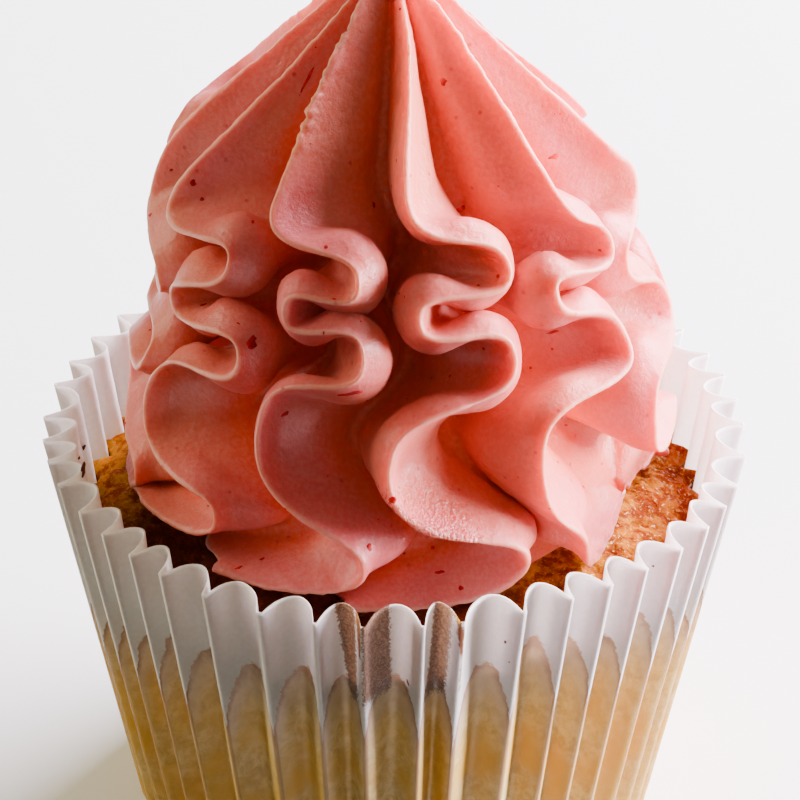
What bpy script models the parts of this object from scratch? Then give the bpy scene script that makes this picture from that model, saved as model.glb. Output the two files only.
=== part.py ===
"""Cupcake in a pleated paper case with a piped swirl of folded frosting.

Three separate solids: the paper case, the cake and the frosting.
Units are metres, +Z is up, the front faces -Y and the origin is the centre
of the underside of the case. Sizes below are in millimetres and turns in
degrees: turn 0 is the front and positive turns go towards +X.
"""
import math

import bpy
import numpy as np

MM = 0.001
GAP = 0.3

# Paper case
RIM_HEIGHT = 41.8
RIM_RADIUS = 34.0
BASE_RADIUS = 25.3
PAPER = 0.5
RIM_PLEAT_DEPTH = 2.9
BASE_PLEAT_DEPTH = 1.2
INNER_RIM_RISE = 0.5
# Rounding between the underside and the wall
CORNER = 1.6
PLEAT_COUNT = 45
# Wide round inner folds and narrow outer ones: the power of the curve across a pleat
PLEAT_CURVE = 2.2
# Turn of one outer fold near the front, and how far the others stray, in pleats
PLEAT_START = -5.0
PLEAT_STRAY = 0.1
PLEAT_SEED = 4
# Slow unevenness of the rim radius: waves round the rim, size, turn in degrees
RIM_WAVES = ((1, 0.55, -105.0), (2, 0.35, 10.0), (3, 0.3, -20.0), (5, 0.3, -12.0))
# Columns across a pleat, from one outer fold (1) over the inner fold (0) to the next
PLEAT_PLACES = (1.0, 0.9, 0.55, 0.0, -0.55, -0.9)

# Cake
CAKE_EDGE_HEIGHT = 33.0
CAKE_EDGE_ROUND = 1.1
CAKE_TOP_HEIGHT = 38.2
CAKE_DOME_RADIUS = 29.4
CAKE_DOME_POWER = 2.4
# Steps of the rounded upper edge: distance in from the paper, share of the rise
EDGE_STEPS = ((0.5, 0.75), (1.7, 1.0))
CROWN_RADII = (25.5, 20.0, 13.5, 7.0)

# Frosting
FIN_COUNT = 11
FIRST_FIN = -84.2
FIN_PITCH = 360.0 / FIN_COUNT
# Half the thickness of a crest, and its growth to the root where the fin is an even sheet
CREST_HALF = 0.55
SHEET_GROWTH = 1.5
# Reach at which the crests have their full thickness
FULL_REACH = 16.0
# Half angle of a fin at its root, and the most that a fin takes of its share of the ring
SPREAD = 11.5
SIDE_LIMIT = 0.44
# How quickly the folds fade from the crest to the root
FOLD_FADE = 1.25
# Radius of the solid middle at rising heights, as a share of the reach
ROOT_HEIGHTS = (37.8, 44.0, 51.0, 58.0)
ROOT_SHARES = (0.72, 0.57, 0.46, 0.42)
# Fold heights from the bottom up, and how roundly each fold turns
FOLD_HEIGHTS = (37.4, 41.6, 52.4, 61.2, 66.3, 69.8, 75.2, 92.0)
FOLD_ROUNDING = (3.0, 14.0, 26.0, 16.0, 12.0, 12.0, 14.0, 20.0)
# Turn of each fold from the middle of its fin, in degrees
FOLD_SWINGS = (-22.0, 12.5, -14.0, 12.5, -9.0, 12.0, -13.0, -3.0)
# The four fins at the front differ from those rules, fold by fold
FRONT_SWINGS = {
    1: (1.5, -1.0, -0.5, 2.0, -3.0, -2.5, -5.0, 0.0),
    2: (-6.0, -0.5, 2.5, -1.0, 2.0, -1.5, -2.0, -18.0),
    3: (-9.0, 0.5, -2.0, -0.5, 0.0, 2.0, 3.5, 5.0),
    4: (31.0, -17.0, -2.5, 0.5, 1.0, 2.5, 16.0, 14.0)}
FRONT_LIFTS = {
    1: (1.0, 2.0, -1.5, -1.0, -5.0, -1.0, -5.0, 0.0),
    2: (0.0, 0.5, 2.0, 2.0, 0.0, 0.0, -0.5, 0.0),
    3: (0.0, 0.0, 0.0, 1.0, 0.5, 0.5, 1.0, 0.0),
    4: (1.5, -2.0, -0.5, -2.5, 0.5, -2.0, -0.5, 0.0)}
OTHER_SWING_SPREAD = 1.0
OTHER_LIFT_SPREAD = 0.45
FIN_SEED = 11
# Height of the groove between two fins, fold by fold
VALLEY_HEIGHTS = (35.9, 43.5, 51.0, 58.4, 63.4, 67.8, 74.8, 91.2)
# Outline of the crests: a barrel below, a cone above, and a soft shoulder between
BARREL_RADIUS = 26.4
BARREL_HEIGHT = 44.0
BARREL_CURVE = 0.0062
CONE_SLOPE = 1.06
PEAK_HEIGHT = 92.0
PEAK_RADIUS = 0.7
SHOULDER = 0.9
# The swirl is a little narrower here, seen from the front or the rear
WAIST_HEIGHT = 60.5
WAIST_SLANT = 2.5
WAIST_SPAN = 4.5
WAIST_SHARE = 0.08
# The upper part leans towards -X
LEAN = -1.3
LEAN_START = 55.0
LEAN_RISE = 30.0
# Places of the points from the root (0) to the crest (1) of a fin
DEPTH_STEPS = (0.36, 0.72, 0.96)
RINGS_PER_FOLD = (4, 5, 6, 5, 5, 5, 7)
# Ring on the underside of the frosting that closes its middle
UNDER_RADIUS = 10.0
UNDER_GAP = 1.2 * GAP
TIP_RISE = 0.3


def clear_scene():
    for found in list(bpy.data.objects):
        bpy.data.objects.remove(found, do_unlink=True)


def smooth(value):
    limited = np.clip(value, 0.0, 1.0)
    return limited * limited * (3.0 - 2.0 * limited)


def material(name, colour, roughness):
    made = bpy.data.materials.new(name)
    made.use_nodes = True
    shader = made.node_tree.nodes["Principled BSDF"]
    shader.inputs["Base Color"].default_value = (*colour, 1.0)
    shader.inputs["Roughness"].default_value = roughness
    return made


def add_object(name, points, faces, look, angle):
    mesh = bpy.data.meshes.new(name)
    metres = np.asarray(points, dtype=float) * MM
    mesh.from_pydata([tuple(map(float, point)) for point in metres], [], faces)
    mesh.validate()
    mesh.update()
    mesh.materials.append(look)
    made = bpy.data.objects.new(name, mesh)
    bpy.context.scene.collection.objects.link(made)
    mesh.shade_smooth()
    mesh.set_sharp_from_angle(angle=math.radians(angle))
    return made


def ring_faces(first, second, count):
    """Quads between two rings of equal count, the second one above the first."""
    faces = []
    for index in range(count):
        after = (index + 1) % count
        faces.append((first + index, first + after, second + after, second + index))
    return faces


def fan_faces(ring, middle, count, upward):
    faces = []
    for index in range(count):
        after = (index + 1) % count
        if upward:
            faces.append((ring + index, ring + after, middle))
        else:
            faces.append((ring + after, ring + index, middle))
    return faces


def pleat_columns():
    """Turn and fold share of every column of points round the paper."""
    random = np.random.default_rng(PLEAT_SEED)
    stray = random.uniform(-PLEAT_STRAY, PLEAT_STRAY, PLEAT_COUNT)
    stray[0] = 0.0
    folds = PLEAT_START + (np.arange(PLEAT_COUNT) + stray) * 360.0 / PLEAT_COUNT
    ends = np.append(folds[1:], folds[0] + 360.0)
    turns = []
    shares = []
    for start, end in zip(folds, ends):
        for place in PLEAT_PLACES:
            turns.append(start + (end - start) * (1.0 - place) / 2.0)
            shares.append(1.0 - (1.0 - abs(place) ** PLEAT_CURVE) ** (1.0 / PLEAT_CURVE))
    return np.array(turns), np.array(shares)


def rim_wave(turns):
    total = np.zeros_like(turns)
    for count, size, turn in RIM_WAVES:
        total += size * np.cos(np.radians(count * (turns - turn)))
    return total


def wall_radius(height, turns, shares):
    """Middle of the paper at a height above the floor."""
    rise = np.clip(height / RIM_HEIGHT, 0.0, 1.1)
    outer = BASE_RADIUS + (RIM_RADIUS - BASE_RADIUS) * rise + rim_wave(turns) * rise
    depth = BASE_PLEAT_DEPTH + (RIM_PLEAT_DEPTH - BASE_PLEAT_DEPTH) * rise
    return outer - depth * (1.0 - shares) - PAPER / 2.0


def around(turns, radii, heights):
    angles = np.radians(turns)
    level = np.broadcast_to(heights, angles.shape)
    return np.stack([radii * np.sin(angles), -radii * np.cos(angles), level], axis=-1)


def build_case(look):
    turns, shares = pleat_columns()
    count = len(turns)
    half = PAPER / 2.0
    top = RIM_HEIGHT + INNER_RIM_RISE * (1.0 - shares)
    # Height, distance in from the wall and side of the paper, up outside and down inside
    levels = []
    levels.append((0.0, CORNER * 0.75, half))
    levels.append((CORNER * 0.3, CORNER * 0.2, half))
    levels.append((CORNER, 0.0, half))
    levels.append((top, 0.0, half))
    levels.append((top, 0.0, -half))
    levels.append((CORNER, 0.0, -half))
    levels.append((PAPER, CORNER * 0.5, -half))
    points = []
    faces = []
    for height, inset, side in levels:
        radii = wall_radius(np.asarray(height), turns, shares) - inset + side
        points.append(around(turns, radii, height))
    for step in range(len(levels) - 1):
        faces += ring_faces(step * count, (step + 1) * count, count)
    points = np.concatenate(points)
    under = len(points)
    points = np.concatenate([points, [[0.0, 0.0, 0.0], [0.0, 0.0, PAPER]]])
    faces += fan_faces(0, under, count, False)
    faces += fan_faces((len(levels) - 1) * count, under + 1, count, True)
    return add_object("paper_case", points, faces, look, 50.0)


def dome_height(radius):
    share = np.clip(radius / CAKE_DOME_RADIUS, 0.0, 1.05)
    drop = CAKE_TOP_HEIGHT - CAKE_EDGE_HEIGHT - CAKE_EDGE_ROUND
    return CAKE_TOP_HEIGHT - drop * share ** CAKE_DOME_POWER


def build_cake(look):
    turns, shares = pleat_columns()
    count = len(turns)
    skin = PAPER / 2.0 + GAP
    points = []
    low = PAPER + GAP
    for height, inset in ((low, CORNER * 0.7), (CORNER, 0.0), (CAKE_EDGE_HEIGHT, 0.0)):
        radii = wall_radius(np.asarray(height), turns, shares) - skin - inset
        points.append(around(turns, radii, height))
    edge = wall_radius(np.asarray(CAKE_EDGE_HEIGHT), turns, shares) - skin
    for inset, rise in EDGE_STEPS:
        radii = edge - inset
        height = CAKE_EDGE_HEIGHT + rise * (dome_height(radii) - CAKE_EDGE_HEIGHT)
        points.append(around(turns, radii, height))
    faces = []
    outer = (len(points) - 1) * count
    for step in range(len(points) - 1):
        faces += ring_faces(step * count, (step + 1) * count, count)
    points = np.concatenate(points)
    faces += fan_faces(0, len(points), count, False)
    points = np.concatenate([points, [[0.0, 0.0, low]]])
    # The crown has a third of the columns
    group = 3
    crown = count // group
    crown_turns = turns[::group]
    rings = []
    for radius in CROWN_RADII:
        rings.append(len(points))
        level = np.full(crown, float(dome_height(radius)))
        points = np.concatenate([points, around(crown_turns, radius, level)])
    for index in range(crown):
        after = (index + 1) % crown
        columns = [outer + (index * group + step) % count for step in range(group + 1)]
        near = rings[0] + index
        far = rings[0] + after
        faces.append((columns[0], columns[1], near))
        faces.append((columns[1], columns[2], near))
        faces.append((columns[2], far, near))
        faces.append((columns[2], columns[3], far))
    for first, second in zip(rings[:-1], rings[1:]):
        faces += ring_faces(first, second, crown)
    top = len(points)
    points = np.concatenate([points, [[0.0, 0.0, CAKE_TOP_HEIGHT]]])
    faces += fan_faces(rings[-1], top, crown, True)
    return add_object("cake", points, faces, look, 60.0)


def fin_tables():
    """Fold turns and heights for every fin, as arrays of fin by fold."""
    random = np.random.default_rng(FIN_SEED)
    turns = np.zeros((FIN_COUNT, len(FOLD_HEIGHTS)))
    heights = np.zeros_like(turns)
    for fin in range(FIN_COUNT):
        middle = FIRST_FIN + FIN_PITCH * fin
        swing_change = random.normal(0.0, OTHER_SWING_SPREAD, len(FOLD_HEIGHTS))
        height_change = random.normal(0.0, OTHER_LIFT_SPREAD, len(FOLD_HEIGHTS))
        height_change[-1] = 0.0
        height_change[0] = 0.0
        if fin in FRONT_SWINGS:
            swing_change = np.array(FRONT_SWINGS[fin])
            height_change = np.array(FRONT_LIFTS[fin])
        turns[fin] = middle + np.array(FOLD_SWINGS) + swing_change
        heights[fin] = np.array(FOLD_HEIGHTS) + height_change
    return turns, heights


def follow_folds(place, values, slopes):
    """Smooth heights through the folds, each fold turning as its slope says."""
    index = np.clip(np.floor(place).astype(int), 0, values.shape[-1] - 2)
    part = place - index
    square = part * part
    cube = square * part
    start = values[..., index]
    end = values[..., index + 1]
    rise = start * (2.0 * cube - 3.0 * square + 1.0)
    rise = rise + slopes[index] * (cube - 2.0 * square + part)
    rise = rise + end * (3.0 * square - 2.0 * cube)
    return rise + slopes[index + 1] * (cube - square)


def follow_turns(place, values):
    """Turns through the folds, level at each fold."""
    index = np.clip(np.floor(place).astype(int), 0, values.shape[-1] - 2)
    part = (1.0 - np.cos(np.pi * (place - index))) / 2.0
    return values[..., index] + (values[..., index + 1] - values[..., index]) * part


def valley_level(place):
    index = np.arange(len(VALLEY_HEIGHTS))
    return np.interp(place, index, VALLEY_HEIGHTS)


def reach(height):
    barrel = BARREL_RADIUS - BARREL_CURVE * (height - BARREL_HEIGHT) ** 2
    cone = PEAK_RADIUS + CONE_SLOPE * np.maximum(PEAK_HEIGHT - height, 0.0)
    return -SHOULDER * np.logaddexp(-barrel / SHOULDER, -cone / SHOULDER)


def lean_at(height):
    return LEAN * smooth((height - LEAN_START) / LEAN_RISE)


def root_radius(low):
    return np.interp(low, ROOT_HEIGHTS, ROOT_SHARES) * reach(low)


def waist(turn, height):
    sideways = np.sin(np.radians(turn))
    level = WAIST_HEIGHT + WAIST_SLANT * sideways
    close = np.exp(-((height - level) / WAIST_SPAN) ** 2)
    return 1.0 - WAIST_SHARE * close * sideways ** 2


def fin_point(place, depth, side):
    """Points of all fins at places up the folds, one side (-1, 0 or 1) of the fin."""
    turns, heights = fin_tables()
    slopes = np.array(FOLD_ROUNDING)
    middles = (FIRST_FIN + FIN_PITCH * np.arange(FIN_COUNT))[:, None]
    share = depth ** FOLD_FADE

    def centre(spot):
        crest_height = follow_folds(spot, heights, slopes)
        crest_turn = follow_turns(spot, turns)
        low = valley_level(spot)
        turn = middles + share * (crest_turn - middles)
        height = low + share * (crest_height - low)
        crest = reach(crest_height) * waist(crest_turn, crest_height)
        root = root_radius(low)
        radius = root + (crest - root) * depth
        return turn, height, radius, crest

    turn, height, radius, crest = centre(place)
    # Direction of the folded line here, from two places close to this one
    near = 0.004
    before = centre(np.maximum(place - near, 0.0))
    after = centre(np.minimum(place + near, len(FOLD_HEIGHTS) - 1.0))
    along = np.radians(after[0] - before[0]) * radius
    rise = after[1] - before[1]
    length = np.hypot(along, rise) + 1e-9
    # Near the crest the fin is an even sheet, deeper down it swells sideways
    full = np.clip(crest / FULL_REACH, 0.08, 1.0)
    crest_half = CREST_HALF * full
    sheet = crest_half + (1.0 - depth) * SHEET_GROWTH * full
    swell = crest_half + math.radians(SPREAD) * (1.0 - share) * radius
    limit = math.radians(FIN_PITCH) * radius * SIDE_LIMIT
    sheet = np.minimum(sheet, limit)
    swell = np.minimum(swell, limit)
    even = smooth((depth - 0.4) / 0.4)
    across = side * (even * sheet * rise / length + (1.0 - even) * swell)
    upward = -side * even * sheet * along / length
    turn = turn + np.degrees(across / np.maximum(radius, GAP))
    height = height + upward
    # Nothing dips into the cake
    height = np.maximum(height, dome_height(radius) + GAP)
    points = around(turn, radius, height)
    points[..., 0] += lean_at(height)
    return points


def valley_point(place):
    low = np.broadcast_to(valley_level(place), (FIN_COUNT, len(place)))
    middles = (FIRST_FIN + FIN_PITCH * (np.arange(FIN_COUNT) - 0.5))[:, None]
    points = around(np.broadcast_to(middles, low.shape), root_radius(low), low)
    points[..., 0] += lean_at(low)
    return points


def fold_places(counts):
    """Places up the folds where the rings lie, from just after the first fold."""
    places = []
    for fold, rings in enumerate(counts):
        for step in range(rings):
            places.append(fold + step / rings)
    places.append(float(len(counts)))
    return np.array(places[1:])


def build_frosting(look):
    places = fold_places(RINGS_PER_FOLD)
    columns = [valley_point(places)]
    for depth in DEPTH_STEPS:
        columns.append(fin_point(places, depth, -1.0))
    columns.append(fin_point(places, 1.0, 0.0))
    for depth in reversed(DEPTH_STEPS):
        columns.append(fin_point(places, depth, 1.0))
    per_fin = len(columns)
    # Order: ring, fin, column
    grid = np.stack(columns, axis=2)
    grid = np.transpose(grid, (1, 0, 2, 3))
    rings = len(places)
    count = FIN_COUNT * per_fin
    points = grid.reshape(rings * count, 3)
    faces = []
    for step in range(rings - 1):
        faces += ring_faces(step * count, (step + 1) * count, count)
    # The cut end of each fin at the bottom, then the underside of the middle
    steps = len(DEPTH_STEPS)
    inner = len(points)
    inner_turns = FIRST_FIN + FIN_PITCH * (np.arange(FIN_COUNT) - 0.5)
    under = around(inner_turns, UNDER_RADIUS, float(dome_height(UNDER_RADIUS)) + UNDER_GAP)
    middle = inner + FIN_COUNT
    peak = points[(rings - 1) * count:].mean(axis=0) + (0.0, 0.0, TIP_RISE)
    points = np.concatenate([points, under, [[0.0, 0.0, CAKE_TOP_HEIGHT + GAP], peak]])
    for fin in range(FIN_COUNT):
        base = fin * per_fin
        next_fin = (fin + 1) % FIN_COUNT
        following = next_fin * per_fin
        left = [base + step for step in range(steps + 1)]
        right = [following] + [base + per_fin - 1 - step for step in range(steps)]
        for step in range(steps):
            faces.append((left[step + 1], left[step], right[step], right[step + 1]))
        faces.append((base + steps + 1, left[steps], right[steps]))
        faces.append((following, base, inner + fin, inner + next_fin))
        faces.append((inner + next_fin, inner + fin, middle))
    faces += fan_faces((rings - 1) * count, middle + 1, count, True)
    return add_object("frosting", points, faces, look, 65.0)


def main():
    clear_scene()
    paper = material("paper", (0.80, 0.76, 0.70), 0.7)
    sponge = material("sponge", (0.55, 0.27, 0.07), 0.6)
    buttercream = material("buttercream", (0.72, 0.27, 0.22), 0.45)
    build_case(paper)
    build_cake(sponge)
    build_frosting(buttercream)


main()
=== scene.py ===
import math

import bmesh
import bpy
import numpy as np
from bpy.props import FloatProperty, FloatVectorProperty, IntProperty, PointerProperty
from mathutils import Matrix, Vector
from mathutils.bvhtree import BVHTree


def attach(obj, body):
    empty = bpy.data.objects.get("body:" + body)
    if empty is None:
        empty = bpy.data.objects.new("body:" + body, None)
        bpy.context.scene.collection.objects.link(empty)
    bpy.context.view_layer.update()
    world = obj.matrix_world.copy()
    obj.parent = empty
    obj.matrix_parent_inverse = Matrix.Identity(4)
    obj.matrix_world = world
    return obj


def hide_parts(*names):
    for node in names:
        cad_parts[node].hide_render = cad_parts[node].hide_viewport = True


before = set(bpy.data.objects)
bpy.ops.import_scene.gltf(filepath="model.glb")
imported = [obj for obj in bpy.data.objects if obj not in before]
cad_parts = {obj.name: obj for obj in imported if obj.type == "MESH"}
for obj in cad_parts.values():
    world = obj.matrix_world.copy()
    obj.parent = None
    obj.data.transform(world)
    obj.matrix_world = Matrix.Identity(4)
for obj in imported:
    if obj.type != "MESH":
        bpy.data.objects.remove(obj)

bl_info = {
    "name": "Piped Cupcake",
    "version": (1, 0, 0),
    "blender": (4, 5, 0),
    "location": "View3D > Sidebar > Cupcake",
    "description": "Builds a cupcake in a pleated paper case with a swirl of folded frosting",
    "category": "Add Mesh",
}

# Sizes are in millimetres and turns in degrees: turn 0 is the front (-Y) and
# positive turns go towards +X. Finished meshes are in metres.
MM = 0.001
PICTURE_SIDE = 800.0

# Paper case
RIM_HEIGHT = 41.8
RIM_RADIUS = 34.0
BASE_RADIUS = 25.3
RIM_PLEAT_DEPTH = 2.9
BASE_PLEAT_DEPTH = 1.2
INNER_RIM_RISE = 0.5
CORNER = 1.6
PLEAT_COUNT = 45
PLEAT_CURVE = 1.85
FOLD_EDGE = 0.88
# Turns of the outer folds that show, from the left round the front to the right
FIRST_SEEN_FOLD = -11
SEEN_FOLDS = (-90.4, -83.4, -77.3, -70.0, -60.9, -53.6, -46.2, -39.2, -30.5, -20.9, -12.2, -5.0, 4.1,
              10.0, 20.1, 28.5, 35.7, 43.0, 51.2, 58.8, 65.8, 72.5, 81.9, 91.7)
PLEAT_START = -5.0
PLEAT_STRAY = 0.1
PLEAT_SEED = 4
RIM_WAVES = ((1, 0.55, -105.0), (2, 0.35, 10.0), (3, 0.3, -20.0), (5, 0.3, -12.0))
COLUMNS_PER_PLEAT = 16
WALL_RINGS = 92
INNER_RINGS = 30
BASE_LIFT = 0.3
PLEAT_LEAN = 0.55
SKEW_SEED = 33
# Colours of the paper that have no setting
PAPER_SHADE = (0.87, 0.86, 0.83)
SOAKED_RIDGE = (0.36, 0.20, 0.065)
SOAKED_EDGE = (0.30, 0.165, 0.115)
SMEAR_DARK = (0.06, 0.025, 0.012)
SMEAR_LIGHT = (0.22, 0.125, 0.075)
SLIT_COLOUR = (0.16, 0.045, 0.004)

# Cake
CAKE_SKIN = 0.55
CAKE_EDGE_HEIGHT = 33.0
CAKE_EDGE_ROUND = 1.1
CAKE_TOP_HEIGHT = 38.2
CAKE_DOME_RADIUS = 29.4
CAKE_DOME_POWER = 2.4
CAKE_LOW = 0.8
CAKE_COLUMNS = 10
# The crust is craggy up to this far in from its edge, and least at the edge
CRAG_REACH = 12.0
EDGE_CRAGS = 0.1
# Painted glint: gold colour of the sparkles on the crust
CRUST_PAINTED_GLINT = (0.86, 0.42, 0.03)
CRUST_GLOSS = (1.0, 0.74, 0.32)

# Frosting
FIN_COUNT = 11
FIRST_FIN = -84.2
FIN_PITCH = 360.0 / FIN_COUNT
CREST_HALF = 0.3
SHEET_GROWTH = 1.1
FULL_REACH = 16.0
SPREAD = 11.5
SIDE_LIMIT = 0.44
FOLD_FADE = 1.25
ROOT_HEIGHTS = (37.8, 44.0, 51.0, 58.0, 66.0, 73.0, 80.0, 92.0)
ROOT_SHARES = (0.84, 0.76, 0.62, 0.48, 0.43, 0.48, 0.46, 0.42)
# How far the root of a fin follows the swing of its crest, fold by fold
ROOT_FOLLOWS = (1.0, 1.0, 0.9, 0.5, 0.4, 0.4, 0.4, 0.0)
# The outside of a fold swells just below its crest: where the swelling starts, its depth and
# size, how round it is, and its share at each fold
BODY_START = 0.4
BODY_DEPTH = 3.6
BODY_OUTSIDE = 2.3
BODY_ROUND = 2.1
BODY_SHARES = (0.0, 0.1, 0.6, 1.0, 1.0, 1.0, 0.5, 0.0)
FOLD_HEIGHTS = (37.4, 41.6, 52.4, 61.2, 66.3, 69.8, 75.2, 92.0)
FOLD_ROUNDING = (3.0, 14.0, 26.0, 16.0, 12.0, 12.0, 14.0, 20.0)
FOLD_SWINGS = (-22.0, 12.5, -14.0, 12.5, -9.0, 12.0, -13.0, -3.0)
FRONT_SWINGS = {
    0: (0.0, 0.0, 0.0, 0.0, 0.0, 0.0, 7.0, 0.0),
    5: (17.5, 0.0, 0.0, 0.0, 0.0, 0.0, 17.0, 8.0),
    1: (-6.0, -1.0, -0.5, 2.0, -3.0, -2.5, -5.0, 0.0),
    2: (-6.0, -0.5, 2.5, -1.0, 2.0, -1.5, -2.0, -18.0),
    3: (-9.0, 0.5, -2.0, -0.5, 0.0, 2.0, 3.5, 5.0),
    4: (54.0, -17.0, -2.5, 0.5, 1.0, 2.5, 16.0, 14.0)}
FRONT_LIFTS = {
    0: (0.0, -1.0, -5.5, -7.5, -9.0, -8.5, -7.5, 0.0),
    5: (0.0, 2.3, -3.5, -6.0, -2.0, -1.5, 0.0, 0.0),
    1: (1.0, 2.0, -1.5, -1.0, -5.0, -1.0, -5.0, 0.0),
    2: (0.0, 0.5, 2.0, 2.0, 0.0, 0.0, -0.5, 0.0),
    3: (0.0, 0.0, 0.0, 1.0, 0.5, 0.5, 1.0, 0.0),
    4: (1.5, -2.0, -0.5, -2.5, 0.5, -2.0, -0.5, 0.0)}
# How far the free lower end of a fin is drawn in
HEM_SHARES = {4: 0.14, 5: 0.14}
HEM_LENGTH = 0.75
OTHER_SWING_SPREAD = 1.0
OTHER_LIFT_SPREAD = 0.45
FIN_SEED = 11
VALLEY_HEIGHTS = (35.9, 43.5, 51.0, 58.4, 63.4, 67.8, 74.8, 91.2)
BARREL_RADIUS = 26.4
BARREL_HEIGHT = 44.0
BARREL_CURVE = 0.0062
CONE_SLOPE = 1.06
PEAK_HEIGHT = 92.0
PEAK_RADIUS = 0.7
SHOULDER = 0.9
WAIST_HEIGHT = 60.5
WAIST_SLANT = 2.5
WAIST_SPAN = 4.5
WAIST_SHARE = 0.08
# The cone is slimmer at the right of the back, where nothing shows beyond the front fins
SLIM_TURNS = (92.0, 112.0, 175.0, 205.0)
SLIM_HEIGHTS = (64.0, 71.0)
SLIM_SHARE = 0.15
LEAN = -1.3
LEAN_START = 55.0
LEAN_RISE = 30.0
FIRST_PLACE = 0.25
NEAR_STEP = 0.004
FINE_STEPS = 3001
FULL_SWING = 11.0
RING_COUNT = 286
DEPTH_STEPS = (0.0, 0.1, 0.2, 0.3, 0.4, 0.5, 0.6, 0.7, 0.79, 0.86, 0.915, 0.955, 0.98, 0.994)
UNDER_RADIUS = 10.0
SANDY_PLACE = (2.8, -26.0, 47.0)
# How torn the lowest laps, the upper crests and the upper crest of one fin are
TORN_LAPS = 0.5
TORN_TOPS = 0.4
TORN_MOST = 1.3
TORN_FIN = 2
SPOT_COLOUR = (0.50, 0.03, 0.03)
GRAIN_COLOUR = (0.95, 0.62, 0.55)
TIP_RISE = 0.3
GAP = 0.3

# Camera, worked out from the rim, the base and the folds
CAMERA_ELEVATION = 31.6
CAMERA_DISTANCE = 420.0
CAMERA_TARGET = (0.0, 0.0, 44.5)
CAMERA_ROLL = 0.9
CAMERA_FOCAL = 4395.0
SENSOR = 36.0


# Shared helpers

def smooth(value):
    limited = np.clip(value, 0.0, 1.0)
    return limited * limited * (3.0 - 2.0 * limited)


def around(turns, radii, heights):
    angles = np.radians(turns)
    radii, heights = np.broadcast_arrays(radii, heights)
    return np.stack([radii * np.sin(angles), -radii * np.cos(angles), heights + 0.0 * angles], axis=-1)


def grid_faces(rings, count):
    """Faces between rings of points that follow one another."""
    index = np.arange(count)
    after = (index + 1) % count
    starts = np.arange(rings - 1)[:, None] * count
    corners = (starts + index, starts + after, starts + count + after, starts + count + index)
    return np.stack(corners, axis=-1).reshape(-1, 4)


def fan_faces(ring, middle, count, upward):
    index = np.arange(count)
    after = (index + 1) % count
    first, second = (index, after) if upward else (after, index)
    return np.stack([ring + first, ring + second, np.full(count, middle)], axis=1)


def closed_faces(rings, count):
    """Faces of rings that are closed by one point below and one above, given after them."""
    total = rings * count
    return [grid_faces(rings, count), fan_faces(0, total, count, False),
            fan_faces(total - count, total + 1, count, True)]


def make_mesh(name, points, face_groups, attributes=None):
    """A mesh from points in millimetres, faces and values stored on its points."""
    mesh = bpy.data.meshes.new(name)
    faces = [face for group in face_groups for face in np.asarray(group).tolist()]
    mesh.from_pydata((np.asarray(points, dtype=float) * MM).tolist(), [], faces)
    for key, values in (attributes or {}).items():
        layer = mesh.attributes.new(key, "FLOAT", "POINT")
        layer.data.foreach_set("value", np.asarray(values, dtype=np.float32).ravel())
    mesh.update()
    mesh.shade_smooth()
    return mesh


def add_object(name, data):
    made = bpy.data.objects.new(name, data)
    bpy.context.scene.collection.objects.link(made)
    return made


def give_material(piece, look):
    piece.data.materials.clear()
    piece.data.materials.append(look)


# Node helpers

class Value:
    """A socket of a node tree that is reckoned with like a number."""

    def __init__(self, tree, socket):
        self.tree = tree
        self.socket = socket

    def __add__(self, other):
        return maths(self.tree, "ADD", self, other)

    def __sub__(self, other):
        return maths(self.tree, "SUBTRACT", self, other)

    def __rsub__(self, other):
        return maths(self.tree, "SUBTRACT", other, self)

    def __mul__(self, other):
        return maths(self.tree, "MULTIPLY", self, other)

    def __truediv__(self, other):
        return maths(self.tree, "DIVIDE", self, other)

    def __rtruediv__(self, other):
        return maths(self.tree, "DIVIDE", other, self)

    def __pow__(self, other):
        return maths(self.tree, "POWER", self, other)


def set_inputs(node, values):
    """Gives inputs of a node their numbers and colours, or links them."""
    for key, value in values.items():
        if isinstance(value, Value):
            node.id_data.links.new(value.socket, node.inputs[key])
        else:
            node.inputs[key].default_value = value


def add_node(tree, kind, values=None, output=0, **options):
    """Adds a node and gives back one of its outputs."""
    node = tree.nodes.new(kind)
    for key, value in options.items():
        setattr(node, key, value)
    set_inputs(node, values or {})
    return Value(tree, node.outputs[output])


def maths(tree, operation, *values):
    return add_node(tree, "ShaderNodeMath", dict(enumerate(values)), operation=operation)


def vector_maths(operation, first, second, output=0):
    return add_node(first.tree, "ShaderNodeVectorMath", {0: first, 1: second}, output, operation=operation)


def scale_vector(vector, scale):
    return add_node(vector.tree, "ShaderNodeVectorMath", {0: vector, "Scale": scale}, operation="SCALE")


def split_vector(vector):
    return [add_node(vector.tree, "ShaderNodeSeparateXYZ", {0: vector}, axis) for axis in range(3)]


def remap(value, low, high, to_low=0.0, to_high=1.0):
    """Moves a value softly from one range to another."""
    values = {"Value": value, "From Min": low, "From Max": high, "To Min": to_low, "To Max": to_high}
    return add_node(value.tree, "ShaderNodeMapRange", values, "Result", interpolation_type="SMOOTHSTEP")


def noise(place, size, detail=2.0, rough=0.5, distortion=0.0, output=0):
    """Noise whose lumps are about as large as the size in millimetres."""
    values = {"Vector": place, "Scale": 1.0 / size, "Detail": detail, "Roughness": rough,
              "Distortion": distortion}
    return add_node(place.tree, "ShaderNodeTexNoise", values, output)


def mix_colour(share, first, second):
    """Mixes two colours, each an output of a node or its red, green and blue."""
    values = {0: share}
    for key, colour in ((6, first), (7, second)):
        values[key] = colour if isinstance(colour, Value) else (*colour, 1.0)
    return add_node(share.tree, "ShaderNodeMix", values, 2, data_type="RGBA")


def stored(tree, name):
    return add_node(tree, "ShaderNodeAttribute", output="Fac", attribute_name=name)


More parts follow.
